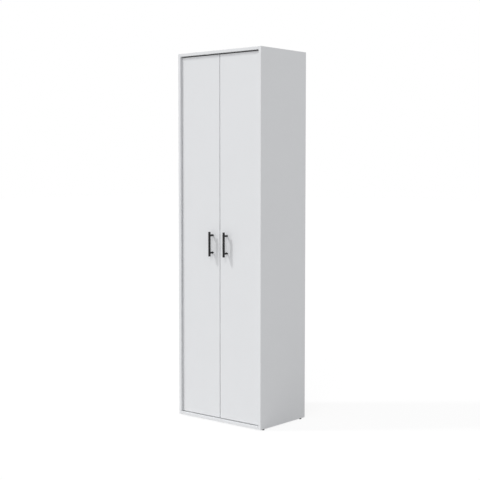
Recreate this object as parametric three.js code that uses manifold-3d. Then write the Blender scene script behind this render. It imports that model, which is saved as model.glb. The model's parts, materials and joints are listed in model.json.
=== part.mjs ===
// A tall two-door broom cupboard of white-faced board, in millimetres.
// Its doors are set in between the side panels and hang on concealed cup hinges.
// The origin is on the floor, under the middle of the whole object, with +Z up and the doors towards -Y.

import * as THREE from 'three';
import { mergeVertices } from 'three/addons/utils/BufferGeometryUtils.js';
import Module from 'manifold-3d';

const wasm = await Module();
wasm.setup();

// Carcass. Places in it are told from the floor and from its front edge, with y growing to the back.
const overallWidth = 600;
const overallHeight = 2050;
const carcassDepth = 395;
const boardThickness = 16;
const edgeRadius = 1;
const seatGap = 0.3;
const overrun = 2;

// Back, in two sheets that slide in a groove and meet in a joint strip.
const backThickness = 3;
const backInset = 10;
const grooveDepth = 6;
const grooveClearance = 0.3;
const stripWall = 1;
const stripHeight = 18;
const stripHeightShare = 0.5;

// Fixed shelf, divider and the shelves that hang on pins in the right-hand half.
const upperRoomHeight = 328;
const rearGap = 2;
const shelfCount = 3;
const shelfSideGap = 1;

// Rows of pin holes.
const holePitch = 32;
const holesPerShelf = 3;
const lowestHole = 86;
const holeFromShelfEdge = 37;
const pinDiameter = 5;
const pinLength = 8;
const pinDrop = 4.5;
const ledgeLength = 8;
const ledgeThickness = 2;
const ledgeWidth = 9;
const pinPlateThickness = 1.8;
const pinPlateHeight = 12;

// Glide feet, each on a nail driven into the end of a side panel.
const footHeight = 6;
const footDiameter = 15;
const footEdgeRadius = 1;
const footFromFront = 32;
const footFromRear = 32;
const nailDiameter = 2.4;
const nailLength = 14;

// Doors.
const doorThickness = 16;
const doorRecess = 13;
const doorSideGap = 3;
const doorMiddleGap = 4;
const doorTopGap = 6;
const doorBottomGap = 4;

// Bar handles on two posts.
const handleHeight = 992;
const handleFromEdge = 50;
const handleHoleSpacing = 96;
const handleProjection = 35;
const barDiameter = 13;
const barLength = 136;
const barEndRadius = 0.8;
const postDiameter = 11;
const handleScrewHole = 4.5;
const handleThreadHole = 3.4;
const handleThreadDepth = 12;

// Concealed hinges. The pin lies inside the door, so far in that the door's front corner swings clear.
const hingeCount = 4;
const hingeFromDoorEnd = 100;
const pivotFromDoorEdge = 20;
const swingClearance = 0.6;
const doorSkin = 3.5;
const cupDiameter = 35;
const cupFromDoorEdge = 22;
const cupWall = 1;
const flangeOverlap = 1.5;
const flangeThickness = 1.2;
const earSpacing = 45;
const earOffset = 9.5;
const earWidth = 12;
const hingeScrewHole = 4.5;
const hingePinDiameter = 4;
const hingePinClearance = 0.3;
const knuckleWall = 2;
const neckWidth = 12;
const neckReach = 26;
const neckAngle = 35;
const neckBend = 5;
const armThickness = 3;
const armWidth = 17;
const armFlangeWall = 1.8;
const armFlangeDepth = 4.5;
const behindSweep = 2;
const plateFromDoor = 37;
const plateScrewSpacing = 32;
const plateThickness = 1.8;
const plateEarWidth = 14;
const railHeight = 8;
const railLength = 38;
const armSlotWidth = 5.5;
const armSlotLength = 10;

// Facets on round forms, and steps in a rounded corner.
const roundSides = 24;
const footSides = 18;
const smallRoundSides = 12;
const holeSides = 10;
const screwHoleSides = 8;
const cornerSteps = 3;

// Places that follow from the sizes above.
const carcassHalfWidth = overallWidth / 2;
const innerHalfWidth = carcassHalfWidth - boardThickness;
const carcassBottom = footHeight;
const floorTop = carcassBottom + boardThickness;
const ceiling = overallHeight - boardThickness;
const backRear = carcassDepth - backInset;
const backFront = backRear - backThickness;
const furnitureRear = backFront - rearGap;
const upperShelfTop = ceiling - upperRoomHeight;
const upperShelfBottom = upperShelfTop - boardThickness;
const dividerHalf = boardThickness / 2;
const doorBottom = floorTop + doorBottomGap;
const doorTop = ceiling - doorTopGap;
const doorHeight = doorTop - doorBottom;
const doorRear = doorRecess + doorThickness;
const stripCentre = carcassBottom + (overallHeight - carcassBottom) * stripHeightShare;

// The circle that the door's outer front corner swings on clears the panel by swingClearance. What
// stands in the carcass starts behind that circle.
const pivotFromPanel = doorSideGap + pivotFromDoorEdge;
const sweepRadius = pivotFromPanel - swingClearance;
const pivotDepth = Math.sqrt(sweepRadius ** 2 - pivotFromDoorEdge ** 2);
const pivotY = doorRecess + pivotDepth;
const furnitureFront = pivotY + sweepRadius + behindSweep;
const hingeHeights = Array.from({ length: hingeCount }, (_, turn) => {
  const run = doorHeight - 2 * hingeFromDoorEnd;
  return doorBottom + hingeFromDoorEnd + (run * turn) / (hingeCount - 1);
});

const finishes = {
  whiteBoard: new THREE.MeshStandardMaterial({ color: 0xe4e5e7, roughness: 0.5, metalness: 0 }),
  whiteSheet: new THREE.MeshStandardMaterial({ color: 0xdedfe0, roughness: 0.6, metalness: 0 }),
  blackMetal: new THREE.MeshStandardMaterial({ color: 0x1c1c1d, roughness: 0.45, metalness: 0.2 }),
  steel: new THREE.MeshStandardMaterial({ color: 0xb9babc, roughness: 0.32, metalness: 1 }),
  whitePlastic: new THREE.MeshStandardMaterial({ color: 0xe9e9e6, roughness: 0.45, metalness: 0 }),
  blackPlastic: new THREE.MeshStandardMaterial({ color: 0x161617, roughness: 0.55, metalness: 0 }),
};

// What a drawing's right, up and forward become when it is extruded along x or y instead of z.
const swaps = {
  x: new THREE.Matrix4().makeBasis(
    new THREE.Vector3(0, 1, 0),
    new THREE.Vector3(0, 0, 1),
    new THREE.Vector3(1, 0, 0),
  ),
  y: new THREE.Matrix4().makeBasis(
    new THREE.Vector3(1, 0, 0),
    new THREE.Vector3(0, 0, 1),
    new THREE.Vector3(0, -1, 0),
  ),
  z: new THREE.Matrix4(),
};

function solidOf(geometry) {
  const bare = geometry.clone();
  bare.deleteAttribute('normal');
  bare.deleteAttribute('uv');
  const merged = mergeVertices(bare);
  const mesh = new wasm.Mesh({
    numProp: 3,
    vertProperties: new Float32Array(merged.attributes.position.array),
    triVerts: new Uint32Array(merged.index.array),
  });
  return new wasm.Manifold(mesh);
}

function geometryOf(solid) {
  const mesh = solid.getMesh();
  const geometry = new THREE.BufferGeometry();
  geometry.setAttribute('position', new THREE.BufferAttribute(mesh.vertProperties, mesh.numProp));
  geometry.setIndex(new THREE.BufferAttribute(mesh.triVerts, 1));
  const faceted = geometry.toNonIndexed();
  faceted.computeVertexNormals();
  return faceted;
}

// A drawing extruded from `start` in the direction that its axis grows. Its drawing plane is
// x and y along z, y and z along x, and x and z along y.
function prism(shape, axis, start, length) {
  const geometry = new THREE.ExtrudeGeometry(shape, {
    depth: length,
    bevelEnabled: false,
    curveSegments: cornerSteps,
  });
  geometry.applyMatrix4(swaps[axis]);
  if (axis === 'x') {
    return geometry.translate(start, 0, 0);
  }
  if (axis === 'y') {
    return geometry.translate(0, start + length, 0);
  }
  return geometry.translate(0, 0, start);
}

// A round bar from one point along an axis that is named x, y or z.
function roundBar(axis, radius, length, start, sides) {
  const geometry = new THREE.CylinderGeometry(radius, radius, length, sides);
  geometry.translate(0, length / 2, 0);
  if (axis === 'x') {
    geometry.rotateZ(-Math.PI / 2);
  } else if (axis === 'z') {
    geometry.rotateX(Math.PI / 2);
  }
  return geometry.translate(start.x, start.y, start.z);
}

function roundedOutline(left, right, low, high, radius) {
  const shape = new THREE.Shape();
  shape.moveTo(left + radius, low);
  shape.lineTo(right - radius, low);
  shape.quadraticCurveTo(right, low, right, low + radius);
  shape.lineTo(right, high - radius);
  shape.quadraticCurveTo(right, high, right - radius, high);
  shape.lineTo(left + radius, high);
  shape.quadraticCurveTo(left, high, left, high - radius);
  shape.lineTo(left, low + radius);
  shape.quadraticCurveTo(left, low, left + radius, low);
  return shape;
}

// A board seen from its end. `place` turns a depth and a height over its outer face into the drawing.
// The front arrises are eased, and a grooved board is slotted for the back in its inner face.
function boardOutline(front, rear, grooved, place) {
  const shape = new THREE.Shape();
  const move = (kind, ...stops) => shape[kind](...stops.flatMap(([depth, height]) => place(depth, height)));
  move('moveTo', [rear, 0]);
  move('lineTo', [front + edgeRadius, 0]);
  move('quadraticCurveTo', [front, 0], [front, edgeRadius]);
  move('lineTo', [front, boardThickness - edgeRadius]);
  move('quadraticCurveTo', [front, boardThickness], [front + edgeRadius, boardThickness]);
  if (grooved) {
    const grooveFront = backFront - grooveClearance;
    const grooveRear = backRear + grooveClearance;
    move('lineTo', [grooveFront, boardThickness]);
    move('lineTo', [grooveFront, boardThickness - grooveDepth]);
    move('lineTo', [grooveRear, boardThickness - grooveDepth]);
    move('lineTo', [grooveRear, boardThickness]);
  }
  move('lineTo', [rear, boardThickness]);
  return shape;
}

const cupboard = new THREE.Group();
const carcass = new THREE.Group();
cupboard.add(carcass);

function addPiece(name, geometry, finish) {
  const piece = new THREE.Mesh(geometry, finish.clone());
  piece.name = name;
  carcass.add(piece);
  return piece;
}

// Heights of the shelves' undersides, the nearest holes to an even division of the room.
const pinHeights = Array.from({ length: shelfCount }, (_, turn) => {
  const evenHeight = floorTop + ((upperShelfBottom - floorTop) * (turn + 1)) / (shelfCount + 1);
  const row = Math.round((evenHeight - pinDrop - floorTop - lowestHole) / holePitch);
  return floorTop + lowestHole + row * holePitch;
});
const pinColumns = [furnitureFront + holeFromShelfEdge, furnitureRear - holeFromShelfEdge];

// The holes for the shelf pins go straight into a face that looks along x towards `towards`.
function boredForPins(board, faceX, towards) {
  const radius = pinDiameter / 2 + seatGap;
  const depth = pinLength + seatGap;
  let bored = board;
  for (const height of pinHeights) {
    for (const column of pinColumns) {
      for (let turn = 0; turn < holesPerShelf; turn += 1) {
        const z = height + (turn - (holesPerShelf - 1) / 2) * holePitch;
        const x = towards > 0 ? faceX - depth : faceX - overrun;
        const start = new THREE.Vector3(x, column, z);
        bored = bored.subtract(solidOf(roundBar('x', radius, depth + overrun, start, holeSides)));
      }
    }
  }
  return bored;
}

function footPlaces(side) {
  const x = side * (carcassHalfWidth - boardThickness / 2);
  return [
    { label: 'front', x, y: footFromFront },
    { label: 'rear', x, y: carcassDepth - footFromRear },
  ];
}

function sidePanel(side) {
  const outline = boardOutline(0, carcassDepth, true, (depth, height) => [
    side * (carcassHalfWidth - height),
    depth,
  ]);
  const board = prism(outline, 'z', carcassBottom, overallHeight - carcassBottom);
  let panel = solidOf(board);
  for (const { x, y } of footPlaces(side)) {
    const start = new THREE.Vector3(x, y, carcassBottom - overrun);
    const radius = nailDiameter / 2 + seatGap;
    panel = panel.subtract(
      solidOf(roundBar('z', radius, nailLength + seatGap + overrun, start, screwHoleSides)),
    );
  }
  if (side > 0) {
    panel = boredForPins(panel, innerHalfWidth, -1);
  }
  return geometryOf(panel);
}

// A level board from left to right, with its outer face at `outer` and its body going `inward` from it.
function levelBoard(left, right, front, rear, outer, inward, grooved) {
  const outline = boardOutline(front, rear, grooved, (depth, height) => [depth, outer + inward * height]);
  return prism(outline, 'x', left, right - left);
}

function divider() {
  const low = floorTop + seatGap;
  const outline = boardOutline(furnitureFront, furnitureRear, false, (depth, height) => [
    height - dividerHalf,
    depth,
  ]);
  const board = prism(outline, 'z', low, upperShelfBottom - seatGap - low);
  return geometryOf(boredForPins(solidOf(board), dividerHalf, 1));
}

function addCarcassBoards() {
  const left = seatGap - innerHalfWidth;
  const right = innerHalfWidth - seatGap;
  addPiece('left_side', sidePanel(-1), finishes.whiteBoard);
  addPiece('right_side', sidePanel(1), finishes.whiteBoard);
  addPiece(
    'top_panel',
    levelBoard(left, right, 0, carcassDepth, overallHeight, -1, true),
    finishes.whiteBoard,
  );
  addPiece(
    'bottom_panel',
    levelBoard(left, right, 0, carcassDepth, carcassBottom, 1, true),
    finishes.whiteBoard,
  );
  addPiece(
    'upper_shelf',
    levelBoard(left, right, furnitureFront, furnitureRear, upperShelfBottom, 1, false),
    finishes.whiteBoard,
  );
  addPiece('divider', divider(), finishes.whiteBoard);
}

function addBack() {
  const reach = grooveDepth - grooveClearance;
  const halfWidth = innerHalfWidth + reach;
  const webHalf = stripWall / 2 + seatGap;
  const sheets = [
    { name: 'back_panel_lower', low: floorTop - reach, high: stripCentre - webHalf },
    { name: 'back_panel_upper', low: stripCentre + webHalf, high: ceiling + reach },
  ];
  for (const { name, low, high } of sheets) {
    const sheet = new THREE.BoxGeometry(2 * halfWidth, backThickness, high - low);
    const piece = addPiece(name, sheet, finishes.whiteSheet);
    piece.position.set(0, backFront + backThickness / 2, (low + high) / 2);
  }
  addPiece('back_joint_strip', jointStrip(), finishes.whitePlastic);
}

// An H in section: a web between the two sheets and a lip before and behind them.
function jointStrip() {
  const inside = backThickness / 2 + seatGap;
  const outside = inside + stripWall;
  const web = stripWall / 2;
  const lip = stripHeight / 2;
  const outline = new THREE.Shape();
  outline.moveTo(-outside, -lip);
  outline.lineTo(-inside, -lip);
  outline.lineTo(-inside, -web);
  outline.lineTo(inside, -web);
  outline.lineTo(inside, -lip);
  outline.lineTo(outside, -lip);
  outline.lineTo(outside, lip);
  outline.lineTo(inside, lip);
  outline.lineTo(inside, web);
  outline.lineTo(-inside, web);
  outline.lineTo(-inside, lip);
  outline.lineTo(-outside, lip);
  const halfLength = innerHalfWidth - seatGap;
  const strip = prism(outline, 'x', -halfLength, 2 * halfLength);
  return strip.translate(0, backFront + backThickness / 2, stripCentre);
}

// A shelf pin: a round shank in its hole, and a bracket whose ledge the shelf lies on.
function shelfPin(side) {
  const wall = side * seatGap;
  const bracket = new THREE.Shape();
  bracket.moveTo(wall, 0);
  bracket.lineTo(side * ledgeLength, 0);
  bracket.lineTo(side * ledgeLength, -ledgeThickness);
  bracket.quadraticCurveTo(
    side * pinPlateThickness,
    -ledgeThickness,
    side * pinPlateThickness,
    -pinPlateHeight,
  );
  bracket.lineTo(wall, -pinPlateHeight);
  const ledge = prism(bracket, 'y', -ledgeWidth / 2, ledgeWidth);
  const shankStart = side > 0 ? -pinLength : -pinPlateThickness;
  const shank = roundBar(
    'x',
    pinDiameter / 2,
    pinLength + pinPlateThickness,
    new THREE.Vector3(shankStart, 0, -pinDrop),
    smallRoundSides,
  );
  return geometryOf(solidOf(ledge).add(solidOf(shank)));
}

function addShelves() {
  const left = dividerHalf + shelfSideGap;
  const right = innerHalfWidth - shelfSideGap;
  pinHeights.forEach((holeHeight, turn) => {
    const label = turn + 1;
    const ledgeTop = holeHeight + pinDrop;
    addPiece(
      `adjustable_shelf_${label}`,
      levelBoard(left, right, furnitureFront, furnitureRear, ledgeTop + seatGap, 1, false),
      finishes.whiteBoard,
    );
    pinColumns.forEach((column, columnTurn) => {
      const depthLabel = columnTurn === 0 ? 'front' : 'rear';
      const leftPin = addPiece(`shelf_pin_${label}_${depthLabel}_left`, shelfPin(1), finishes.steel);
      leftPin.position.set(dividerHalf, column, ledgeTop);
      const rightPin = addPiece(`shelf_pin_${label}_${depthLabel}_right`, shelfPin(-1), finishes.steel);
      rightPin.position.set(innerHalfWidth, column, ledgeTop);
    });
  });
}

// A turned glide with an eased lower edge, and its nail above.
function foot() {
  const radius = footDiameter / 2;
  const nail = nailDiameter / 2;
  const top = footHeight - seatGap;
  const ease = Array.from({ length: cornerSteps + 1 }, (_, turn) => {
    const angle = (Math.PI / 2) * (turn / cornerSteps);
    return new THREE.Vector2(
      radius - footEdgeRadius + footEdgeRadius * Math.sin(angle),
      footEdgeRadius - footEdgeRadius * Math.cos(angle),
    );
  });
  const outline = [
    new THREE.Vector2(0, 0),
    ...ease,
    new THREE.Vector2(radius, top),
    new THREE.Vector2(nail, top),
    new THREE.Vector2(nail, footHeight + nailLength - nailDiameter),
    new THREE.Vector2(0, footHeight + nailLength),
  ];
  return new THREE.LatheGeometry(outline, footSides).rotateX(Math.PI / 2);
}

function addFeet() {
  for (const side of [-1, 1]) {
    const sideLabel = side < 0 ? 'left' : 'right';
    for (const { label, x, y } of footPlaces(side)) {
      const piece = addPiece(`foot_${label}_${sideLabel}`, foot(), finishes.blackPlastic);
      piece.position.set(x, y, 0);
    }
  }
}

// Places on a door are told from the side panel's inner face, with `side` -1 for left and 1 for right.
const fromPanel = (side, distance) => side * (innerHalfWidth - distance);
const handleX = (side) => side * (doorMiddleGap / 2 + handleFromEdge);
const postHeights = [handleHeight - handleHoleSpacing / 2, handleHeight + handleHoleSpacing / 2];

function door(side) {
  const outer = fromPanel(side, doorSideGap);
  const inner = (side * doorMiddleGap) / 2;
  const left = Math.min(outer, inner) + edgeRadius;
  const right = Math.max(outer, inner) - edgeRadius;
  const outline = new THREE.Shape();
  outline.moveTo(left, doorBottom + edgeRadius);
  outline.lineTo(right, doorBottom + edgeRadius);
  outline.lineTo(right, doorTop - edgeRadius);
  outline.lineTo(left, doorTop - edgeRadius);
  const slab = new THREE.ExtrudeGeometry(outline, {
    depth: doorThickness - 2 * edgeRadius,
    bevelSize: edgeRadius,
    bevelThickness: edgeRadius,
    bevelSegments: cornerSteps,
  });
  slab.applyMatrix4(swaps.y).translate(0, doorRear - edgeRadius, 0);
  let panel = solidOf(slab);
  const cupX = fromPanel(side, doorSideGap + cupFromDoorEdge);
  for (const z of hingeHeights) {
    const start = new THREE.Vector3(cupX, doorRecess + doorSkin, z);
    const bore = roundBar('y', cupDiameter / 2 + seatGap, doorThickness, start, roundSides);
    panel = panel.subtract(solidOf(bore));
  }
  for (const z of postHeights) {
    const start = new THREE.Vector3(handleX(side), doorRecess - overrun, z);
    const length = doorThickness + 2 * overrun;
    panel = panel.subtract(solidOf(roundBar('y', handleScrewHole / 2, length, start, screwHoleSides)));
  }
  return geometryOf(panel);
}

// The bar stands upright, with eased ends.
function handleBar() {
  const radius = barDiameter / 2;
  const half = barLength / 2;
  const outline = [
    new THREE.Vector2(0, -half),
    new THREE.Vector2(radius - barEndRadius, -half),
    new THREE.Vector2(radius, barEndRadius - half),
    new THREE.Vector2(radius, half - barEndRadius),
    new THREE.Vector2(radius - barEndRadius, half),
    new THREE.Vector2(0, half),
  ];
  return new THREE.LatheGeometry(outline, roundSides).rotateX(Math.PI / 2);
}

// A post is hollowed at its front to fit round the bar, and drilled from the door for its screw.
function handlePost() {
  const barAxis = barDiameter / 2 - handleProjection;
  const post = roundBar(
    'y',
    postDiameter / 2,
    -seatGap - barAxis,
    new THREE.Vector3(0, barAxis, 0),
    roundSides,
  );
  const saddle = roundBar(
    'z',
    barDiameter / 2 + seatGap,
    postDiameter + 2 * overrun,
    new THREE.Vector3(0, barAxis, -postDiameter / 2 - overrun),
    roundSides,
  );
  const thread = roundBar(
    'y',
    handleThreadHole / 2,
    handleThreadDepth + overrun,
    new THREE.Vector3(0, -handleThreadDepth, 0),
    screwHoleSides,
  );
  return geometryOf(solidOf(post).subtract(solidOf(saddle)).subtract(solidOf(thread)));
}

function addDoor(side) {
  const label = side < 0 ? 'left' : 'right';
  addPiece(`${label}_door`, door(side), finishes.whiteBoard);
  const bar = addPiece(`${label}_handle_bar`, handleBar(), finishes.blackMetal);
  bar.position.set(handleX(side), doorRecess - handleProjection + barDiameter / 2, handleHeight);
  postHeights.forEach((z, turn) => {
    const place = turn === 0 ? 'lower' : 'upper';
    const post = addPiece(`${label}_handle_post_${place}`, handlePost(), finishes.blackMetal);
    post.position.set(handleX(side), doorRecess, z);
  });
}

// The pressed cup fills its bore. An ear above and below takes its screws, and a pin crosses it.
function hingeCup(side) {
  const radius = cupDiameter / 2;
  const cupX = fromPanel(side, doorSideGap + cupFromDoorEdge);
  const floor = doorRecess + doorSkin + seatGap;
  const rim = doorRear + seatGap;
  const lip = rim + flangeThickness;
  const centre = new THREE.Vector3(cupX, floor, 0);
  const onRim = new THREE.Vector3(cupX, rim, 0);
  const shell = solidOf(roundBar('y', radius, lip - floor, centre, roundSides));
  const collar = solidOf(roundBar('y', radius + flangeOverlap, flangeThickness, onRim, roundSides));
  const hollowStart = new THREE.Vector3(cupX, floor + cupWall, 0);
  const hollow = solidOf(roundBar('y', radius - cupWall, lip - floor, hollowStart, roundSides));
  const earX = cupX - side * earOffset;
  const earHalf = (earSpacing + earWidth) / 2;
  const earOutline = roundedOutline(
    earX - earWidth / 2,
    earX + earWidth / 2,
    -earHalf,
    earHalf,
    earWidth / 2,
  );
  const ears = solidOf(prism(earOutline, 'y', rim, flangeThickness));
  const pinHalf = Math.sqrt((radius - cupWall / 2) ** 2 - (cupFromDoorEdge - pivotFromDoorEdge) ** 2);
  const pinStart = new THREE.Vector3(fromPanel(side, pivotFromPanel), pivotY, -pinHalf);
  const pin = solidOf(roundBar('z', hingePinDiameter / 2, 2 * pinHalf, pinStart, smallRoundSides));
  let cup = shell.add(collar).add(ears).subtract(hollow).add(pin);
  for (const z of [-earSpacing / 2, earSpacing / 2]) {
    const start = new THREE.Vector3(earX, rim - overrun, z);
    const length = flangeThickness + 2 * overrun;
    cup = cup.subtract(solidOf(roundBar('y', hingeScrewHole / 2, length, start, screwHoleSides)));
  }
  return geometryOf(cup);
}

// A flat strip of even thickness that follows corners in plan, with each inner corner bent round.
function bentStrip(corners, thickness, bend) {
  const path = new THREE.Path();
  path.moveTo(corners[0].x, corners[0].y);
  for (let turn = 1; turn < corners.length - 1; turn += 1) {
    const corner = corners[turn];
    const before = corners[turn - 1].clone().sub(corner).setLength(bend).add(corner);
    const after = corners[turn + 1].clone().sub(corner).setLength(bend).add(corner);
    path.lineTo(before.x, before.y);
    path.quadraticCurveTo(corner.x, corner.y, after.x, after.y);
  }
  const end = corners[corners.length - 1];
  path.lineTo(end.x, end.y);
  const stops = path.getPoints(2 * cornerSteps);
  const offset = (turn, distance) => {
    const ahead = stops[Math.min(turn + 1, stops.length - 1)];
    const behind = stops[Math.max(turn - 1, 0)];
    const along = ahead.clone().sub(behind).normalize();
    return new THREE.Vector2(-along.y, along.x).multiplyScalar(distance).add(stops[turn]);
  };
  const leftSide = stops.map((_, turn) => offset(turn, thickness / 2));
  const rightSide = stops.map((_, turn) => offset(turn, -thickness / 2)).reverse();
  return new THREE.Shape([...leftSide, ...rightSide]);
}

// The foot of an arm is a channel that caps the rail of the plate: a web that is slotted from its rear
// end for the fixing screw, and a flange down each side. `near` is how far the web lies from the panel.
function armFoot(side, near, front) {
  const rear = doorRear + plateFromDoor + railLength / 2;
  const corner = armWidth / 4;
  const half = armWidth / 2;
  const start = side < 0 ? fromPanel(side, near) : fromPanel(side, near + armThickness);
  const webOutline = roundedOutline(front, rear, -half, half, corner);
  let channel = solidOf(prism(webOutline, 'x', start, armThickness));
  const flangeStart = side < 0 ? start - armFlangeDepth : start;
  for (const low of [-half, half - armFlangeWall]) {
    const outline = new THREE.Shape();
    outline.moveTo(front + corner, low);
    outline.lineTo(rear - corner, low);
    outline.lineTo(rear - corner, low + armFlangeWall);
    outline.lineTo(front + corner, low + armFlangeWall);
    channel = channel.add(solidOf(prism(outline, 'x', flangeStart, armThickness + armFlangeDepth)));
  }
  const slotHalf = armSlotWidth / 2;
  const slotOutline = roundedOutline(
    rear - armSlotLength,
    rear + overrun,
    -slotHalf,
    slotHalf,
    slotHalf,
  );
  return channel.subtract(solidOf(prism(slotOutline, 'x', start - overrun, armThickness + 2 * overrun)));
}

// The arm is a gooseneck. Its knuckle turns on the pin, and its neck reaches out of the cup, round the
// circle that the door's corner swings on and back to the foot.
function hingeArm(side) {
  const pivot = new THREE.Vector2(fromPanel(side, pivotFromPanel), pivotY);
  const lean = THREE.MathUtils.degToRad(neckAngle);
  const elbow = pivot.clone();
  elbow.x -= side * neckReach * Math.cos(lean);
  elbow.y += neckReach * Math.sin(lean);
  const crossingY = furnitureFront + armThickness / 2;
  const footNear = railHeight + seatGap;
  const footMiddle = fromPanel(side, footNear + armThickness / 2);
  const corners = [
    pivot,
    elbow,
    new THREE.Vector2(elbow.x, crossingY),
    new THREE.Vector2(footMiddle, crossingY),
  ];
  const neck = prism(bentStrip(corners, armThickness, neckBend), 'z', -neckWidth / 2, neckWidth);
  const holeRadius = hingePinDiameter / 2 + hingePinClearance;
  const knuckleStart = new THREE.Vector3(pivot.x, pivot.y, -neckWidth / 2);
  const knuckle = roundBar('z', holeRadius + knuckleWall, neckWidth, knuckleStart, smallRoundSides);
  const holeStart = new THREE.Vector3(pivot.x, pivot.y, -neckWidth / 2 - overrun);
  const hole = roundBar('z', holeRadius, neckWidth + 2 * overrun, holeStart, smallRoundSides);
  const channel = armFoot(side, footNear, furnitureFront);
  return geometryOf(solidOf(neck).add(solidOf(knuckle)).add(channel).subtract(solidOf(hole)));
}

// The mounting plate: an upright flange with a screw hole at each end, and a rail across it for the arm.
function hingePlate(side) {
  const screwY = doorRear + plateFromDoor;
  const earHalf = (plateScrewSpacing + plateEarWidth) / 2;
  const flangeOutline = roundedOutline(
    screwY - plateEarWidth / 2,
    screwY + plateEarWidth / 2,
    -earHalf,
    earHalf,
    plateEarWidth / 3,
  );
  const railWidth = armWidth - 2 * (armFlangeWall + seatGap);
  const railOutline = roundedOutline(
    screwY - railLength / 2,
    screwY + railLength / 2,
    -railWidth / 2,
    railWidth / 2,
    railWidth / 4,
  );
  const nearest = (thickness) => (side < 0 ? fromPanel(side, seatGap) : fromPanel(side, seatGap + thickness));
  const flange = prism(flangeOutline, 'x', nearest(plateThickness), plateThickness);
  const railThickness = railHeight - seatGap;
  const rail = prism(railOutline, 'x', nearest(railThickness), railThickness);
  let plate = solidOf(flange).add(solidOf(rail));
  for (const z of [-plateScrewSpacing / 2, plateScrewSpacing / 2]) {
    const start = new THREE.Vector3(nearest(plateThickness) - overrun, screwY, z);
    const length = plateThickness + 2 * overrun;
    plate = plate.subtract(solidOf(roundBar('x', hingeScrewHole / 2, length, start, screwHoleSides)));
  }
  return geometryOf(plate);
}

function addHinges(side) {
  const label = side < 0 ? 'left' : 'right';
  const pieces = { cup: hingeCup(side), arm: hingeArm(side), plate: hingePlate(side) };
  hingeHeights.forEach((height, turn) => {
    for (const [kind, geometry] of Object.entries(pieces)) {
      const piece = addPiece(`${label}_hinge_${turn + 1}_${kind}`, geometry.clone(), finishes.steel);
      piece.position.z = height;
    }
  });
}

addCarcassBoards();
addBack();
addShelves();
addFeet();
for (const side of [-1, 1]) {
  addDoor(side);
  addHinges(side);
}

// The handles stand before the carcass, so the middle of the whole object lies that much further forward.
carcass.position.y = (handleProjection - doorRecess - carcassDepth) / 2;

export default cupboard;
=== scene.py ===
import json
import math

import bmesh
import bpy
from mathutils import Matrix, Vector

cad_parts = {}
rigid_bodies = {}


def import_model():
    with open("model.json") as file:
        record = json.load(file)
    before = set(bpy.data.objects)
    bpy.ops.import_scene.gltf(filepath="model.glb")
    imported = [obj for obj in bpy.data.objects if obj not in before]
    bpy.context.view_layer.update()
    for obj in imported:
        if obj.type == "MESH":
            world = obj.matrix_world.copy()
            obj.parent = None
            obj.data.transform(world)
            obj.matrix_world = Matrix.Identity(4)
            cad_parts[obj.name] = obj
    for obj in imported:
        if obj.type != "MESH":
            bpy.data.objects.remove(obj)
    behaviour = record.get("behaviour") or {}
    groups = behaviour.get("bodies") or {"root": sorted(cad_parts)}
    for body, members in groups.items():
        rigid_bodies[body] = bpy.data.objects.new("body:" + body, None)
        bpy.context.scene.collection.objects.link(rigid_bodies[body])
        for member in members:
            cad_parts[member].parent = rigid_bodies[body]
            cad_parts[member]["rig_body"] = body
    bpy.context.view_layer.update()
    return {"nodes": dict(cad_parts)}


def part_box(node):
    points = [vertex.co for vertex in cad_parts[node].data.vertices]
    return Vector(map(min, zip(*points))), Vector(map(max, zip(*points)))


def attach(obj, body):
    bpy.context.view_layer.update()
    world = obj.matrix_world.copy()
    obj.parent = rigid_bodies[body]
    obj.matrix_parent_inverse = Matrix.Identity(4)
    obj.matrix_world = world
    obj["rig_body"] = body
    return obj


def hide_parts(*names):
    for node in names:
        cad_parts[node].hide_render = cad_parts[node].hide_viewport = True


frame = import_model()
nodes = frame["nodes"]
mm = 0.001
print("frame loaded,", len(nodes), "nodes")


# small helpers for node trees: a value that is a socket is linked, anything else is set
def feed(tree, socket, value):
    if isinstance(value, bpy.types.NodeSocket):
        tree.links.new(value, socket)
    else:
        socket.default_value = value


def addNode(tree, kind, inputs=None, **settings):
    made = tree.nodes.new(kind)
    for name, value in settings.items():
        setattr(made, name, value)
    for name, value in (inputs or {}).items():
        feed(tree, made.inputs[name], value)
    return made


def calc(tree, operation, first, second=0.0, clamp=False):
    settings = {"operation": operation, "use_clamp": clamp}
    return addNode(tree, "ShaderNodeMath", {0: first, 1: second}, **settings).outputs[0]


def mixColour(tree, share, first, second, blend="MIX"):
    inputs = {0: share, 6: first, 7: second}
    settings = {"data_type": "RGBA", "blend_type": blend}
    return addNode(tree, "ShaderNodeMix", inputs, **settings).outputs[2]


def mixValue(tree, share, first, second):
    inputs = {0: share, 2: first, 3: second}
    return addNode(tree, "ShaderNodeMix", inputs, data_type="FLOAT").outputs[0]


# what lies between fromLow and fromHigh is spread over low to high; a noise lies near 0.3 to 0.7
def spread(tree, value, low, high, fromLow=0.3, fromHigh=0.7):
    inputs = {"Value": value, "From Min": fromLow, "From Max": fromHigh, "To Min": low, "To Max": high}
    return addNode(tree, "ShaderNodeMapRange", inputs).outputs[0]


def stretched(tree, coords, stretch):
    return addNode(tree, "ShaderNodeMapping", {"Vector": coords, "Scale": stretch}).outputs[0]


def noise(tree, coords, scale, detail=2.0, stretch=(1, 1, 1)):
    inputs = {"Vector": stretched(tree, coords, stretch), "Scale": scale, "Detail": detail}
    return addNode(tree, "ShaderNodeTexNoise", inputs).outputs["Fac"]


def newMaterial(name, sockets):
    made = bpy.data.materials.new(name)
    made.use_nodes = True
    tree = made.node_tree
    shader = tree.nodes["Principled BSDF"]
    for socket, value in sockets.items():
        shader.inputs[socket].default_value = value
    coords = addNode(tree, "ShaderNodeTexCoord").outputs["Object"]
    return made, tree, shader, coords


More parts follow.
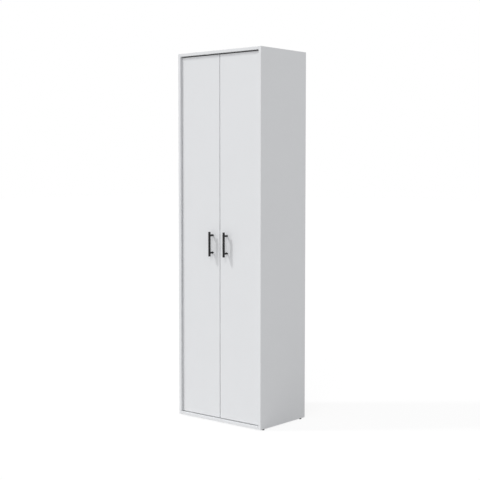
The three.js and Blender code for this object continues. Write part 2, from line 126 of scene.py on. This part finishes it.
def bumpFrom(tree, shader, height, distance, strength):
    inputs = {"Height": height, "Distance": distance, "Strength": strength}
    bump = addNode(tree, "ShaderNodeBump", inputs)
    tree.links.new(bump.outputs[0], shader.inputs["Normal"])


def paint(piece, material):
    piece.data.materials.clear()
    piece.data.materials.append(material)


# melamine-faced board: white faces and edging, bare chips wherever a cut goes inside;
# in all the looks a noise is given by its scale and detail, and its stretch if it has one
boardLook = {
    "ior": 1.5,
    "white": (0.782, 0.790, 0.803, 1),
    "whiteShade": (0.774, 0.782, 0.795, 1),
    "cloud": (5.0, 3.0),
    "grain": (900.0, 3.0),
    "grainTone": (0.985, 1.012),
    "gloss": (22.0, 4.0),
    "roughness": (0.36, 0.46),
    "pearl": (1400.0, 2.0),
    "pearlHeight": 0.05,
    "faceDepth": 0.35 * mm,
    "edgingDepth": 1.05 * mm,
    "seam": (0.42, 0.42, 0.42, 1),
    "seamAt": 0.9 * mm,
    "seamHalf": 0.08 * mm,
    "seamShare": 0.55,
    "rubbed": (0.62, 0.62, 0.625, 1),
    "rub": (38.0, 4.0),
    "rubPatches": (0.5, 0.7),
    "rubShare": 0.4,
    "rubWidth": 1.4 * mm,
    "chipLight": (0.52, 0.37, 0.22, 1),
    "chipDark": (0.24, 0.145, 0.075, 1),
    "chipTones": (0.1, 0.9),
    "chipScale": 620.0,
    "chipStretch": (1.0, 0.8, 0.6),
    "coreRoughness": 0.9,
    "relief": 0.4 * mm,
    "reliefStrength": 0.6,
}


# how far a point lies under the broad faces, and how far from the nearest end that has edging
def boardDepths(tree, coords, node, thicknessAxis, edged):
    low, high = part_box(node)
    place = addNode(tree, "ShaderNodeSeparateXYZ", {0: coords}).outputs

    def fromLow(axis):
        return calc(tree, "SUBTRACT", place[axis], low["XYZ".index(axis)])

    def fromHigh(axis):
        return calc(tree, "SUBTRACT", high["XYZ".index(axis)], place[axis])

    depth = calc(tree, "MINIMUM", fromLow(thicknessAxis), fromHigh(thicknessAxis))
    gaps = [fromLow(axis) if end == "-" else fromHigh(axis) for axis, end in edged]
    toEdge = gaps[0]
    for gap in gaps[1:]:
        toEdge = calc(tree, "MINIMUM", toEdge, gap)
    return depth, toEdge


# a faint tint, fine grain, the glue line of the edging, and a little rub on the arrises
def whiteFace(tree, coords, depth, toEdge):
    look = boardLook
    cloud = spread(tree, noise(tree, coords, *look["cloud"]), 0.0, 1.0)
    tint = mixColour(tree, cloud, look["white"], look["whiteShade"])
    fleck = spread(tree, noise(tree, coords, *look["grain"]), *look["grainTone"])
    white = mixColour(tree, 1.0, tint, fleck, "MULTIPLY")
    fromSeam = calc(tree, "ABSOLUTE", calc(tree, "SUBTRACT", toEdge, look["seamAt"]))
    seam = calc(tree, "LESS_THAN", fromSeam, look["seamHalf"])
    white = mixColour(tree, calc(tree, "MULTIPLY", seam, look["seamShare"]), white, look["seam"])
    fromArris = calc(tree, "MAXIMUM", toEdge, depth)
    nearArris = spread(tree, fromArris, 1.0, 0.0, 0.0, look["rubWidth"])
    rub = noise(tree, coords, *look["rub"])
    patches = spread(tree, rub, 0.0, look["rubShare"], *look["rubPatches"])
    return mixColour(tree, calc(tree, "MULTIPLY", nearArris, patches), white, look["rubbed"])


# pressed wood chips, a little longer upwards than across
def chipCore(tree, coords):
    look = boardLook
    drawnOut = stretched(tree, coords, look["chipStretch"])
    inputs = {"Vector": drawnOut, "Scale": look["chipScale"], "Randomness": 1.0}
    chips = addNode(tree, "ShaderNodeTexVoronoi", inputs).outputs
    tone = spread(tree, chips["Color"], 0.0, 1.0, *look["chipTones"])
    return mixColour(tree, tone, look["chipDark"], look["chipLight"]), chips["Distance"]


def boardMaterial(node, thicknessAxis, edged):
    look = boardLook
    made, tree, shader, coords = newMaterial(node + "_board", {"IOR": look["ior"]})
    depth, toEdge = boardDepths(tree, coords, node, thicknessAxis, edged)
    underFace = calc(tree, "GREATER_THAN", depth, look["faceDepth"])
    pastEdging = calc(tree, "GREATER_THAN", toEdge, look["edgingDepth"])
    bare = calc(tree, "MULTIPLY", underFace, pastEdging)
    core, chipHeight = chipCore(tree, coords)
    colour = mixColour(tree, bare, whiteFace(tree, coords, depth, toEdge), core)
    tree.links.new(colour, shader.inputs["Base Color"])

    gloss = spread(tree, noise(tree, coords, *look["gloss"]), *look["roughness"])
    roughness = mixValue(tree, bare, gloss, look["coreRoughness"])
    tree.links.new(roughness, shader.inputs["Roughness"])
    pearl = calc(tree, "MULTIPLY", noise(tree, coords, *look["pearl"]), look["pearlHeight"])
    pits = calc(tree, "MULTIPLY", chipHeight, bare)
    bumpFrom(tree, shader, calc(tree, "ADD", pearl, pits), look["relief"], look["reliefStrength"])
    return made


# each board: the axis across its thickness, and the ends that have edging
boards = {
    "left_side": ("X", ("Y-", "Z-", "Z+")),
    "right_side": ("X", ("Y-", "Z-", "Z+")),
    "top_panel": ("Z", ("Y-",)),
    "bottom_panel": ("Z", ("Y-",)),
    "upper_shelf": ("Z", ("Y-",)),
    "divider": ("X", ("Y-",)),
    "adjustable_shelf_1": ("Z", ("Y-", "X-", "X+")),
    "adjustable_shelf_2": ("Z", ("Y-", "X-", "X+")),
    "adjustable_shelf_3": ("Z", ("Y-", "X-", "X+")),
    "left_door": ("Y", ("X-", "X+", "Z-", "Z+")),
    "right_door": ("Y", ("X-", "X+", "Z-", "Z+")),
}
for node, (thicknessAxis, edged) in boards.items():
    paint(nodes[node], boardMaterial(node, thicknessAxis, edged))
print("boards faced,", len(boards))


# thin back: lacquered white inside, bare brown hardboard with its wire-screen print outside
backLook = {
    "ior": 1.5,
    "lacquer": (0.745, 0.752, 0.765, 1),
    "lacquerShade": (0.72, 0.728, 0.74, 1),
    "lacquerCloud": (9.0, 4.0),
    "lacquerDepth": 0.2 * mm,
    "gloss": (30.0, 3.0),
    "roughness": (0.42, 0.55),
    "peel": (500.0, 2.0),
    "peelHeight": 0.12,
    "brown": (0.300, 0.178, 0.098, 1),
    "brownDark": (0.215, 0.120, 0.063, 1),
    "brownPressed": (0.150, 0.080, 0.041, 1),
    "fibre": (260.0, 6.0, (1.0, 1.0, 0.45)),
    "fibreShare": 0.6,
    "cloud": (4.0, 3.0),
    "cloudShare": 0.4,
    "screenPitch": 2.4 * mm,
    "screenPeak": 0.8,
    "screenShare": 0.45,
    "brownRoughness": 0.82,
    "relief": 0.3 * mm,
    "reliefStrength": 0.6,
}


# the dents of the wire screen that the sheet was pressed on
def screenPrint(tree, place):
    look = backLook
    ripples = []
    for axis in "XZ":
        turns = calc(tree, "MULTIPLY", place[axis], 2 * math.pi / look["screenPitch"])
        ripples.append(calc(tree, "SINE", turns))
    screen = calc(tree, "MULTIPLY", *ripples)
    return spread(tree, screen, 0.0, look["screenShare"], 0.0, look["screenPeak"])


def hardboard(tree, coords, dents):
    look = backLook
    fibre = spread(tree, noise(tree, coords, *look["fibre"]), 0.0, look["fibreShare"])
    cloud = spread(tree, noise(tree, coords, *look["cloud"]), 0.0, look["cloudShare"])
    shade = calc(tree, "ADD", fibre, cloud, clamp=True)
    brown = mixColour(tree, shade, look["brown"], look["brownDark"])
    return mixColour(tree, dents, brown, look["brownPressed"])


def backMaterial():
    look = backLook
    made, tree, shader, coords = newMaterial("backSheet", {"IOR": look["ior"]})
    place = addNode(tree, "ShaderNodeSeparateXYZ", {0: coords}).outputs
    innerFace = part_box("back_panel_upper")[0].y
    behind = calc(tree, "GREATER_THAN", place["Y"], innerFace + look["lacquerDepth"])
    tone = spread(tree, noise(tree, coords, *look["lacquerCloud"]), 0.0, 1.0)
    lacquer = mixColour(tree, tone, look["lacquer"], look["lacquerShade"])
    dents = screenPrint(tree, place)
    colour = mixColour(tree, behind, lacquer, hardboard(tree, coords, dents))
    tree.links.new(colour, shader.inputs["Base Color"])

    gloss = spread(tree, noise(tree, coords, *look["gloss"]), *look["roughness"])
    roughness = mixValue(tree, behind, gloss, look["brownRoughness"])
    tree.links.new(roughness, shader.inputs["Roughness"])
    peel = calc(tree, "MULTIPLY", noise(tree, coords, *look["peel"]), look["peelHeight"])
    pressing = calc(tree, "MULTIPLY", calc(tree, "MULTIPLY", dents, behind), -1.0)
    height = calc(tree, "ADD", peel, pressing)
    bumpFrom(tree, shader, height, look["relief"], look["reliefStrength"])
    return made


backSheet = backMaterial()
for node in ("back_panel_lower", "back_panel_upper"):
    paint(nodes[node], backSheet)
print("back sheets done")


# finishes of the fittings: two tones that mottle, a grain in the gloss, and a fine relief
coatLook = {
    "sockets": {"IOR": 1.5, "Specular IOR Level": 0.3},
    "tones": ((0.0105, 0.0105, 0.011, 1), (0.016, 0.016, 0.0165, 1)),
    "mottle": (60.0, 3.0),
    "grain": (420.0, 3.0),
    "roughness": (0.40, 0.54),
    "relief": (3200.0, 2.0),
    "reliefDepth": 0.05 * mm,
    "reliefStrength": 0.5,
}
nickelLook = {
    "sockets": {"Metallic": 1.0},
    "tones": ((0.60, 0.59, 0.565, 1), (0.52, 0.51, 0.49, 1)),
    "mottle": (45.0, 4.0),
    "grain": (700.0, 4.0, (1.0, 1.0, 0.12)),
    "roughness": (0.22, 0.38),
    "relief": (700.0, 4.0, (1.0, 1.0, 0.12)),
    "reliefDepth": 0.03 * mm,
    "reliefStrength": 0.4,
}
blackPlasticLook = {
    "sockets": {"IOR": 1.46},
    "tones": ((0.014, 0.014, 0.014, 1), (0.010, 0.010, 0.010, 1)),
    "mottle": (90.0, 3.0),
    "grain": (350.0, 3.0),
    "roughness": (0.50, 0.62),
    "relief": (2600.0, 2.0),
    "reliefDepth": 0.05 * mm,
    "reliefStrength": 0.5,
}
whitePlasticLook = {
    **blackPlasticLook,
    "tones": ((0.74, 0.74, 0.73, 1), (0.71, 0.71, 0.70, 1)),
    "roughness": (0.34, 0.44),
}


def fittingFinish(name, look):
    made, tree, shader, coords = newMaterial(name, look["sockets"])
    mottle = spread(tree, noise(tree, coords, *look["mottle"]), 0.0, 1.0)
    tree.links.new(mixColour(tree, mottle, *look["tones"]), shader.inputs["Base Color"])
    gloss = spread(tree, noise(tree, coords, *look["grain"]), *look["roughness"])
    tree.links.new(gloss, shader.inputs["Roughness"])
    relief = noise(tree, coords, *look["relief"])
    bumpFrom(tree, shader, relief, look["reliefDepth"], look["reliefStrength"])
    return made


blackCoat = fittingFinish("blackPowderCoat", coatLook)
nickel = fittingFinish("nickelSteel", nickelLook)
blackPlastic = fittingFinish("blackPlastic", blackPlasticLook)
whitePlastic = fittingFinish("whitePlastic", whitePlasticLook)
paint(nodes["back_joint_strip"], whitePlastic)
print("finishes made")


# finished meshes: normals out, smooth, with the sharp edges kept
sharpAngle = math.radians(35)
mergeGap = 0.001 * mm


def finishPiece(name, mesh, material, body):
    for polygon in mesh.polygons:
        polygon.use_smooth = True
    mesh.set_sharp_from_angle(angle=sharpAngle)
    piece = bpy.data.objects.new(name, mesh)
    bpy.context.scene.collection.objects.link(piece)
    paint(piece, material)
    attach(piece, body)
    return piece


def meshFrom(name, bm):
    bmesh.ops.remove_doubles(bm, verts=bm.verts, dist=mergeGap)
    bmesh.ops.recalc_face_normals(bm, faces=bm.faces)
    mesh = bpy.data.meshes.new(name)
    bm.to_mesh(mesh)
    bm.free()
    return mesh


# a profile of (radius, height) pairs is spun once round Z, and the turned piece is set in place
def lathe(name, profile, steps, place=Matrix.Identity(4)):
    bm = bmesh.new()
    verts = [bm.verts.new((radius, 0, height)) for radius, height in profile]
    edges = [bm.edges.new(pair) for pair in zip(verts, verts[1:])]
    bmesh.ops.spin(
        bm,
        geom=verts + edges,
        cent=(0, 0, 0),
        axis=(0, 0, 1),
        angle=2 * math.pi,
        steps=steps,
        use_merge=True,
    )
    bmesh.ops.transform(bm, matrix=place, verts=bm.verts)
    return meshFrom(name, bm)


# the quarter round at one end of a turned piece, from its side to its face
def easedEnd(radius, height, ease, upwards, steps=4):
    points = []
    for step in range(steps + 1):
        angle = math.pi / 2 * step / steps
        rise = ease * math.sin(angle) * (1 if upwards else -1)
        points.append((radius - ease + ease * math.cos(angle), height + rise))
    return points


# handles: a bar with eased ends, and two posts hollowed to seat it
handle = {
    "endEase": 0.9 * mm,
    "turns": 64,
    "postTurns": 48,
    "seat": 0.3 * mm,
    "sameColumn": 0.01 * mm,
}


def turnedBar(side):
    low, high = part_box(side + "_handle_bar")
    centre = (low + high) / 2
    radius = (high.x - low.x) / 2
    half = (high.z - low.z) / 2
    ease = handle["endEase"]
    profile = [(0, -half)]
    profile += easedEnd(radius, ease - half, ease, False)[::-1]
    profile += easedEnd(radius, half - ease, ease, True)
    profile += [(0, half)]
    mesh = lathe(side + "_bar", profile, handle["turns"], Matrix.Translation(centre))
    piece = finishPiece(side + "_bar", mesh, blackCoat, side + "_door_leaf")
    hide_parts(side + "_handle_bar")
    return centre, radius


# the front face is split into strips that run along the bar, so that it can take the bar's round
def turnedPost(side, level, barCentre, barRadius):
    node = f"{side}_handle_post_{level}"
    low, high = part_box(node)
    centre = (low + high) / 2
    bm = bmesh.new()
    bmesh.ops.create_cone(
        bm,
        cap_ends=True,
        segments=handle["postTurns"],
        radius1=(high.x - low.x) / 2,
        radius2=(high.x - low.x) / 2,
        depth=high.y - low.y,
        matrix=Matrix.Translation(centre) @ Matrix.Rotation(math.pi / 2, 4, "X"),
    )
    rim = [vert for vert in bm.verts if vert.co.y < centre.y]
    rim.sort(key=lambda vert: (round(vert.co.x, 6), vert.co.z))  # column by column, from below
    for lower, upper in zip(rim, rim[1:]):
        if abs(lower.co.x - upper.co.x) < handle["sameColumn"]:
            bmesh.ops.connect_verts(bm, verts=[lower, upper])
    for vert in rim:
        across = vert.co.x - barCentre.x
        vert.co.y = barCentre.y + math.sqrt((barRadius + handle["seat"]) ** 2 - across**2)
    name = f"{side}_post_{level}"
    piece = finishPiece(name, meshFrom(name, bm), blackCoat, side + "_door_leaf")
    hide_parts(node)


for side in ("left", "right"):
    barCentre, barRadius = turnedBar(side)
    for level in ("lower", "upper"):
        turnedPost(side, level, barCentre, barRadius)
print("handles turned")


# feet: a glide with a rounded skirt and an eased top, on its nail
foot = {"gap": 0.1 * mm, "skirt": 0.8 * mm, "topEase": 0.3 * mm, "nail": 1.2 * mm, "turns": 48}


def turnedFoot(node):
    low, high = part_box(node)
    radius = (high.x - low.x) / 2
    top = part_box("left_side")[0].z - foot["gap"]
    nailShoulder = high.z - 2 * foot["nail"]  # the nail's point is as long as the nail is thick
    profile = [(0, 0)]
    profile += easedEnd(radius, foot["skirt"], foot["skirt"], False)[::-1]
    profile += easedEnd(radius, top - foot["topEase"], foot["topEase"], True)
    profile += [(foot["nail"], top), (foot["nail"], nailShoulder), (0, high.z)]
    centre = Matrix.Translation(((low.x + high.x) / 2, (low.y + high.y) / 2, 0))
    mesh = lathe(node + "_glide", profile, foot["turns"], centre)
    piece = finishPiece(node + "_glide", mesh, blackPlastic, "carcass")
    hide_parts(node)


for node in nodes:
    if node.startswith("foot_"):
        turnedFoot(node)
print("feet turned")


# pressed steel: the CAD shape, merged and freed of its triangles, with its sharp edges eased
pressed = {"merge": 0.01 * mm, "flat": 0.6, "ease": 0.28 * mm, "easeSegments": 2, "easeAbove": 40}


def pressedCopy(node):
    bm = bmesh.new()
    bm.from_mesh(nodes[node].data)
    bmesh.ops.remove_doubles(bm, verts=bm.verts, dist=pressed["merge"])
    bmesh.ops.dissolve_limit(
        bm,
        angle_limit=math.radians(pressed["flat"]),
        verts=bm.verts,
        edges=bm.edges,
        use_dissolve_boundaries=False,
    )
    name = node + "_pressed"
    mesh = bpy.data.meshes.new(name)
    bm.to_mesh(mesh)
    bm.free()
    piece = finishPiece(name, mesh, nickel, nodes[node]["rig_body"])
    bevel = piece.modifiers.new("ease", "BEVEL")
    bevel.width = pressed["ease"]
    bevel.segments = pressed["easeSegments"]
    bevel.limit_method = "ANGLE"
    bevel.angle_limit = math.radians(pressed["easeAbove"])
    bevel.use_clamp_overlap = True
    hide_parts(node)


for node in nodes:
    if "_hinge_" in node or node.startswith("shelf_pin"):
        pressedCopy(node)
print("hinges and shelf pins eased")


# pan-head screws: one head is turned, its cross is cut, and then it is copied to every place;
# a handle's screws stop between the angles of the cup screws of the hinge that handleIndex gives
screw = {
    "radius": 4.0 * mm,
    "height": 2.0 * mm,
    "steps": 28,
    "headShares": ((0, 1), (0.45, 1), (0.8, 0.82), (0.96, 0.5), (1, 0.2), (1, 0), (0, 0)),
    "crossReach": 4.4 * mm,
    "crossWidth": 1.1 * mm,
    "crossDepthShare": 0.6,
    "crossTipShare": 0.55,
    "turnStep": 0.9,
    "plateTurn": 0.3,
    "cupTurn": 1.1,
    "armTurn": 2.0,
    "handleIndex": 3,
}


def crossCutter(turn):
    top = screw["height"]
    tip = screw["crossTipShare"]
    depth = top * screw["crossDepthShare"]
    size = Matrix.Diagonal((screw["crossReach"], screw["crossWidth"], 2 * depth, 1))
    place = Matrix.Translation((0, 0, top)) @ Matrix.Rotation(turn, 4, "Z") @ size
    bm = bmesh.new()
    bmesh.ops.create_cube(bm, size=1, matrix=place)
    bottom = [vert for vert in bm.verts if vert.co.z < top]
    bmesh.ops.scale(bm, vec=(tip, tip, 1), verts=bottom)
    cutter = bpy.data.objects.new("cutter", meshFrom("cutter", bm))
    bpy.context.scene.collection.objects.link(cutter)
    return cutter


def crossHead():
    radius = screw["radius"]
    height = screw["height"]
    profile = [(radius * across, height * up) for across, up in screw["headShares"]]
    head = bpy.data.objects.new("screwHead", lathe("screwHead", profile, screw["steps"]))
    bpy.context.scene.collection.objects.link(head)
    cutters = [crossCutter(0), crossCutter(math.pi / 2)]
    for cutter in cutters:
        cut = head.modifiers.new("cross", "BOOLEAN")
        cut.object = cutter
        cut.operation = "DIFFERENCE"
        cut.solver = "EXACT"
    bpy.context.view_layer.update()
    evaluated = head.evaluated_get(bpy.context.evaluated_depsgraph_get())
    made = bpy.data.meshes.new_from_object(evaluated)
    for item in [head, *cutters]:
        bpy.data.objects.remove(item)
    return made


# copies of a mesh, one for each place, joined into one piece
def copiesOf(name, mesh, places):
    bm = bmesh.new()
    for place in places:
        before = len(bm.verts)
        bm.from_mesh(mesh)
        bm.verts.ensure_lookup_table()
        bmesh.ops.transform(bm, matrix=place, verts=bm.verts[before:])
    made = bpy.data.meshes.new(name)
    bm.to_mesh(made)
    bm.free()
    return made


# screw heads and caps are made with their faces up, and these turn them to face another way
facing = {
    "+X": Matrix.Rotation(math.pi / 2, 4, "Y"),
    "-X": Matrix.Rotation(-math.pi / 2, 4, "Y"),
    "+Y": Matrix.Rotation(-math.pi / 2, 4, "X"),
    "-Z": Matrix.Rotation(math.pi, 4, "X"),
}


def placed(spot, way, turn=Matrix.Identity(4), size=(1, 1, 1)):
    return Matrix.Translation(spot) @ facing[way] @ turn @ Matrix.Diagonal((*size, 1))


# no two screws near each other are driven to the same angle
def screwTurn(index, side, kind):
    angle = screw["turnStep"] * index + screw[kind + "Turn"] * side
    return Matrix.Rotation(angle, 4, "Z")


# where the screws sit on each hinge
hinge = {
    "perDoor": 4,
    "plateScrewSpacing": 32 * mm,
    "plateThickness": 1.8 * mm,
    "earSpacing": 45 * mm,
    "earInset": 6.0 * mm,
    "cupScrewSize": (1, 1, 0.7),
    "armFaceHeight": 3.3 * mm,
    "armScrewFromRear": 7.2 * mm,
    "adjusterFromRear": 24 * mm,
    "adjusterSize": (0.72, 0.72, 0.72),
    "lift": 0.02 * mm,
}


def plateScrews(label, side, index):
    way = "+X" if side < 0 else "-X"
    low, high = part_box(f"{label}_hinge_{index}_plate")
    middle = (low + high) / 2
    wall = low.x if side < 0 else high.x
    face = wall - side * (hinge["plateThickness"] + hinge["lift"])
    places = []
    for shift in (-0.5, 0.5):
        spot = (face, middle.y, middle.z + shift * hinge["plateScrewSpacing"])
        places.append(placed(spot, way, screwTurn(index + shift, side, "plate")))
    return places


# the arm's channel caps the plate's rail, so its face is told from the top of the rail
def armScrews(label, side, index):
    way = "+X" if side < 0 else "-X"
    low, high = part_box(f"{label}_hinge_{index}_plate")
    railTop = high.x if side < 0 else low.x
    face = railTop - side * (hinge["armFaceHeight"] + hinge["lift"])
    level = ((low + high) / 2).z
    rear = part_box(f"{label}_hinge_{index}_arm")[1].y
    turn = screwTurn(index, side, "arm")
    fixing = placed((face, rear - hinge["armScrewFromRear"], level), way, turn)
    adjuster = (face, rear - hinge["adjusterFromRear"], level)
    return [fixing, placed(adjuster, way, turn, hinge["adjusterSize"])]


def cupScrews(label, side, index):
    low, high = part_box(f"{label}_hinge_{index}_cup")
    ear = low.x + hinge["earInset"] if side > 0 else high.x - hinge["earInset"]
    level = ((low + high) / 2).z
    places = []
    for shift in (-0.5, 0.5):
        spot = (ear, high.y + hinge["lift"], level + shift * hinge["earSpacing"])
        turn = screwTurn(index + shift, side, "cup")
        places.append(placed(spot, "+Y", turn, hinge["cupScrewSize"]))
    return places


def handleScrews(label, side):
    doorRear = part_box(label + "_door")[1].y
    turn = screwTurn(screw["handleIndex"], side, "cup")
    places = []
    for level in ("lower", "upper"):
        low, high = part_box(f"{label}_handle_post_{level}")
        middle = (low + high) / 2
        places.append(placed((middle.x, doorRear + hinge["lift"], middle.z), "+Y", turn))
    return places


panHead = crossHead()
for label, side in (("left", -1), ("right", 1)):
    onCarcass = []
    onDoor = []
    for index in range(1, hinge["perDoor"] + 1):
        onCarcass += plateScrews(label, side, index) + armScrews(label, side, index)
        onDoor += cupScrews(label, side, index)
    onDoor += handleScrews(label, side)
    mesh = copiesOf(label + "_plate_screws", panHead, onCarcass)
    finishPiece(label + "_plate_screws", mesh, nickel, "carcass")
    mesh = copiesOf(label + "_door_screws", panHead, onDoor)
    finishPiece(label + "_door_screws", mesh, nickel, label + "_door_leaf")
print("screws set")


# white caps over the cams that draw the level boards to the sides
cap = {
    "radius": 8.5 * mm,
    "crown": 0.9 * mm,
    "domeShares": ((0, 1), (0.6, 0.92), (0.92, 0.6), (1, 0), (0, 0)),
    "steps": 40,
    "fromEnd": 34 * mm,
    "fromEdge": 50 * mm,
}


def camCaps():
    profile = [(cap["radius"] * across, cap["crown"] * up) for across, up in cap["domeShares"]]
    dome = lathe("camCap", profile, cap["steps"])
    places = []
    for node in ("top_panel", "upper_shelf", "bottom_panel"):
        low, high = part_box(node)
        for x in (low.x + cap["fromEnd"], high.x - cap["fromEnd"]):
            for y in (low.y + cap["fromEdge"], high.y - cap["fromEdge"]):
                places.append(placed((x, y, low.z), "-Z"))
    mesh = copiesOf("cam_caps", dome, places)
    finishPiece("cam_caps", mesh, whitePlastic, "carcass")


camCaps()
print("caps set")


# studio: a pale floor that the camera sees as white, an even sky and two soft lamps far off
studio = {
    "skyStrength": 0.61,
    "skyColour": (0.985, 0.99, 1.0, 1),
    "backdrop": (1, 1, 1, 1),
    "floorColour": (0.60, 0.60, 0.60, 1),
    "floorShade": (0.59, 0.59, 0.59, 1),
    "floorCloud": (3.0, 3.0),
    "floorRoughness": 0.9,
    "floorGlow": 1.12,
    "glowShare": 0.78,
    "floorHalf": 40.0,
    "keyStrength": 1.43,
    "keyTravel": (0.44, 0.40, -0.64),
    "keySpread": 6,
    "fillStrength": 0.48,
    "fillTravel": (-0.28, 0.72, -0.65),
    "fillSpread": 18,
}


def cameraRays(tree):
    rays = addNode(tree, "ShaderNodeLightPath").outputs
    seen = calc(tree, "MAXIMUM", rays["Is Camera Ray"], rays["Is Glossy Ray"])
    return calc(tree, "MAXIMUM", seen, rays["Is Transmission Ray"])


def buildSky():
    world = bpy.data.worlds.new("sky")
    bpy.context.scene.world = world
    world.use_nodes = True
    tree = world.node_tree
    tree.nodes.clear()
    light = {0: studio["skyColour"], 1: studio["skyStrength"]}
    dim = addNode(tree, "ShaderNodeBackground", light)
    white = addNode(tree, "ShaderNodeBackground", {0: studio["backdrop"], 1: 1.0})
    skies = {0: cameraRays(tree), 1: dim.outputs[0], 2: white.outputs[0]}
    mixed = addNode(tree, "ShaderNodeMixShader", skies)
    addNode(tree, "ShaderNodeOutputWorld", {0: mixed.outputs[0]})


def buildFloor():
    bm = bmesh.new()
    bmesh.ops.create_grid(bm, x_segments=1, y_segments=1, size=studio["floorHalf"])
    mesh = bpy.data.meshes.new("floor")
    bm.to_mesh(mesh)
    bm.free()
    floor = bpy.data.objects.new("floor", mesh)
    bpy.context.scene.collection.objects.link(floor)
    sockets = {"Roughness": studio["floorRoughness"]}
    made, tree, shader, coords = newMaterial("paleFloor", sockets)
    cloudy = spread(tree, noise(tree, coords, *studio["floorCloud"]), 0.0, 1.0)
    colour = mixColour(tree, cloudy, studio["floorColour"], studio["floorShade"])
    tree.links.new(colour, shader.inputs["Base Color"])
    glow = addNode(tree, "ShaderNodeEmission", {"Strength": studio["floorGlow"]})
    share = calc(tree, "MULTIPLY", cameraRays(tree), studio["glowShare"])
    faces = {0: share, 1: shader.outputs[0], 2: glow.outputs[0]}
    mixed = addNode(tree, "ShaderNodeMixShader", faces)
    tree.links.new(mixed.outputs[0], tree.nodes["Material Output"].inputs[0])
    paint(floor, made)


def hangLamp(name):
    light = bpy.data.lights.new(name, "SUN")
    light.energy = studio[name + "Strength"]
    light.angle = math.radians(studio[name + "Spread"])
    lamp = bpy.data.objects.new(name, light)
    lamp.rotation_mode = "QUATERNION"
    lamp.rotation_quaternion = Vector(studio[name + "Travel"]).to_track_quat("-Z", "Y")
    bpy.context.scene.collection.objects.link(lamp)


buildSky()
buildFloor()
for name in ("key", "fill"):
    hangLamp(name)
print("studio ready")


# the camera stands to the right of the cupboard, a little under eye height, and looks slightly down
view = {
    "place": (3.7788, -4.4599, 1.3906),
    "turn": 40.291,
    "tilt": -3.489,
    "lens": 78.04,
    "sensor": 36,
    "shift": -0.01,
}
cameraData = bpy.data.cameras.new("camera")
cameraData.sensor_width = view["sensor"]
cameraData.lens = view["lens"]
cameraData.shift_y = view["shift"]
camera = bpy.data.objects.new("camera", cameraData)
camera.location = view["place"]
camera.rotation_euler = (math.radians(90 + view["tilt"]), 0, math.radians(view["turn"]))
bpy.context.scene.collection.objects.link(camera)
bpy.context.scene.camera = camera
bpy.context.scene.view_settings.view_transform = "Standard"
print("camera placed")
